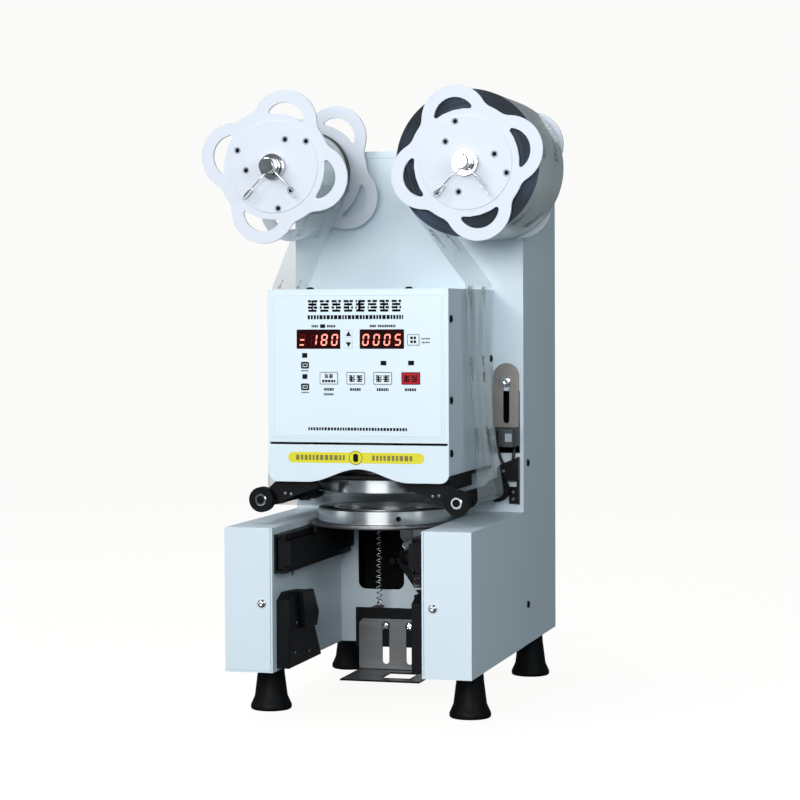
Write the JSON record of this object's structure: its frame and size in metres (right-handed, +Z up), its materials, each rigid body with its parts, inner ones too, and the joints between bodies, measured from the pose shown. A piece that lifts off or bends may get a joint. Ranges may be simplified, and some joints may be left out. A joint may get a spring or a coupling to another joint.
{
  "type": "cup sealing machine",
  "caption": "Tabletop film cup sealer: column with film reels, control head with heated press ring, sliding cup tray between two arms, on rubber feet.",
  "frame": {"origin": "on the table under the middle of the machine's bounding box", "axes": "+X to the machine's right as seen from its front, +Y to its back, +Z up"},
  "size_m": [0.3148, 0.3548, 0.5563],
  "materials": {
    "casing": "cool white powder coat, fine orange peel, semi-gloss",
    "panel": "cool white enamel, semi-gloss",
    "overlay": "printed polyester membrane, satin",
    "key": "printed polyester key, satin",
    "key_red": "red printed polyester key, satin",
    "arrow_key": "white polyester key with a printed black arrow, satin",
    "window": "dark red tinted window over red digits",
    "black_steel": "black powder coat, fine texture",
    "satin_steel": "turned and brushed, satin",
    "chrome": "polished",
    "dark_steel": "blackened steel, satin",
    "slot_plate": "dark brushed stainless steel",
    "die": "machined brass",
    "rubber": "moulded black rubber, dull",
    "reel_plastic": "lilac-white moulded plastic, satin",
    "film": "clear printed sealing film",
    "film_roll": "wound film, dark layered edge",
    "sensor_body": "dark grey moulded plastic",
    "cable": "black PVC sheath",
    "board": "green circuit board with solder mask",
    "galvanised": "zinc-plated steel sheet",
    "socket": "black moulded plastic"
  },
  "bodies": {
    "frame": {"column_shell": "casing", "column_cap": "casing", "rear_cover": "casing", "base_plate": "casing", "arm_cover_left": "casing", "arm_cover_right": "casing", "arm_frames": "casing", "slide_rails": "black_steel", "arm_brackets": "black_steel", "rubber_feet": "rubber", "head_cover": "casing", "head_front_panel": "panel", "control_overlay": "overlay", "visor": "panel", "head_base": "black_steel", "press_guides": "satin_steel", "display_windows": "window", "control_board": "board", "press_motor": "dark_steel", "tray_motor": "dark_steel", "take_up_motor": "dark_steel", "reel_bearings": "dark_steel", "roller_brackets": "black_steel", "sensor_cable": "cable", "stop_carrier": "black_steel", "stop_spring": "chrome", "power_supply": "galvanised", "power_inlet": "socket", "screws_black": "black_steel", "screws_chrome": "chrome", "film_web": "film"},
    "tray": {"tray_plate": "satin_steel", "lower_ring": "satin_steel", "seal_gasket": "rubber", "tray_sliders": "black_steel", "tray_rack": "dark_steel"},
    "pinion": {"tray_pinion": "dark_steel"},
    "press": {"press_yoke": "satin_steel", "upper_ring": "satin_steel", "heater_block": "die", "cutter_ring": "dark_steel"},
    "lead_screw": {"press_screw": "satin_steel"},
    "reel_left": {"reel_shaft_left": "chrome", "reel_flanges_left": "reel_plastic", "film_core_left": "film"},
    "reel_right": {"reel_shaft_right": "chrome", "reel_flanges_right": "reel_plastic", "film_roll_right": "film_roll"},
    "roller_left": {"guide_roller_left": "rubber"},
    "roller_right": {"guide_roller_right": "rubber"},
    "sensor": {"sensor_plate": "slot_plate", "film_sensor": "sensor_body"},
    "stop": {"cup_stop": "satin_steel"},
    "button_up": {"key_up": "arrow_key"},
    "button_down": {"key_down": "arrow_key"},
    "button_clear": {"key_clear": "key"},
    "button_mode": {"key_mode": "key"},
    "button_start": {"key_start": "key"},
    "button_pause": {"key_pause": "key"},
    "button_power": {"key_power": "key_red"}
  },
  "joints": [
    {"name": "tray_slide", "type": "slide", "parent": "frame", "child": "tray", "axis": [0, -1, 0], "range_m": [0, 0.138]},
    {"name": "tray_pinion_spin", "type": "hinge", "parent": "frame", "child": "pinion", "pos_m": [0.0672, -0.117, 0.126], "axis": [1, 0, 0], "range_deg": [-5, 665]},
    {"name": "press_slide", "type": "slide", "parent": "frame", "child": "press", "axis": [0, 0, -1], "range_m": [0, 0.0118]},
    {"name": "lead_screw_spin", "type": "hinge", "parent": "frame", "child": "lead_screw", "pos_m": [0, -0.0503, 0.33], "axis": [0, 0, 1], "range_deg": [-10, 1082]},
    {"name": "reel_left_spin", "type": "hinge", "parent": "frame", "child": "reel_left", "pos_m": [-0.0888, 0.03, 0.4877], "axis": [0, 1, 0], "continuous": true},
    {"name": "reel_right_spin", "type": "hinge", "parent": "frame", "child": "reel_right", "pos_m": [0.0888, 0.03, 0.4877], "axis": [0, 1, 0], "continuous": true},
    {"name": "roller_left_spin", "type": "hinge", "parent": "frame", "child": "roller_left", "pos_m": [-0.0893, 0.01, 0.1916], "axis": [0, 1, 0], "continuous": true},
    {"name": "roller_right_spin", "type": "hinge", "parent": "frame", "child": "roller_right", "pos_m": [0.0893, 0.01, 0.1916], "axis": [0, 1, 0], "continuous": true},
    {"name": "sensor_height", "type": "slide", "parent": "frame", "child": "sensor", "axis": [0, 0, 1], "range_m": [0, 0.03]},
    {"name": "stop_height", "type": "slide", "parent": "frame", "child": "stop", "axis": [0, 0, 1], "range_m": [0, 0.033]},
    {"name": "press_up", "type": "slide", "parent": "frame", "child": "button_up", "axis": [0, 1, 0], "range_m": [0, 0.0005], "stiffness_N_per_m": 400},
    {"name": "press_down", "type": "slide", "parent": "frame", "child": "button_down", "axis": [0, 1, 0], "range_m": [0, 0.0005], "stiffness_N_per_m": 400},
    {"name": "press_clear", "type": "slide", "parent": "frame", "child": "button_clear", "axis": [0, 1, 0], "range_m": [0, 0.0005], "stiffness_N_per_m": 400},
    {"name": "press_mode", "type": "slide", "parent": "frame", "child": "button_mode", "axis": [0, 1, 0], "range_m": [0, 0.0005], "stiffness_N_per_m": 400},
    {"name": "press_start", "type": "slide", "parent": "frame", "child": "button_start", "axis": [0, 1, 0], "range_m": [0, 0.0005], "stiffness_N_per_m": 400},
    {"name": "press_pause", "type": "slide", "parent": "frame", "child": "button_pause", "axis": [0, 1, 0], "range_m": [0, 0.0005], "stiffness_N_per_m": 400},
    {"name": "press_power", "type": "slide", "parent": "frame", "child": "button_power", "axis": [0, 1, 0], "range_m": [0, 0.0005], "stiffness_N_per_m": 400}
  ],
  "couplings": [
    {"joint": "tray_pinion_spin", "follows": "tray_slide", "rad_per_m": 83.333},
    {"joint": "lead_screw_spin", "follows": "press_slide", "rad_per_m": 1570.8}
  ]
}
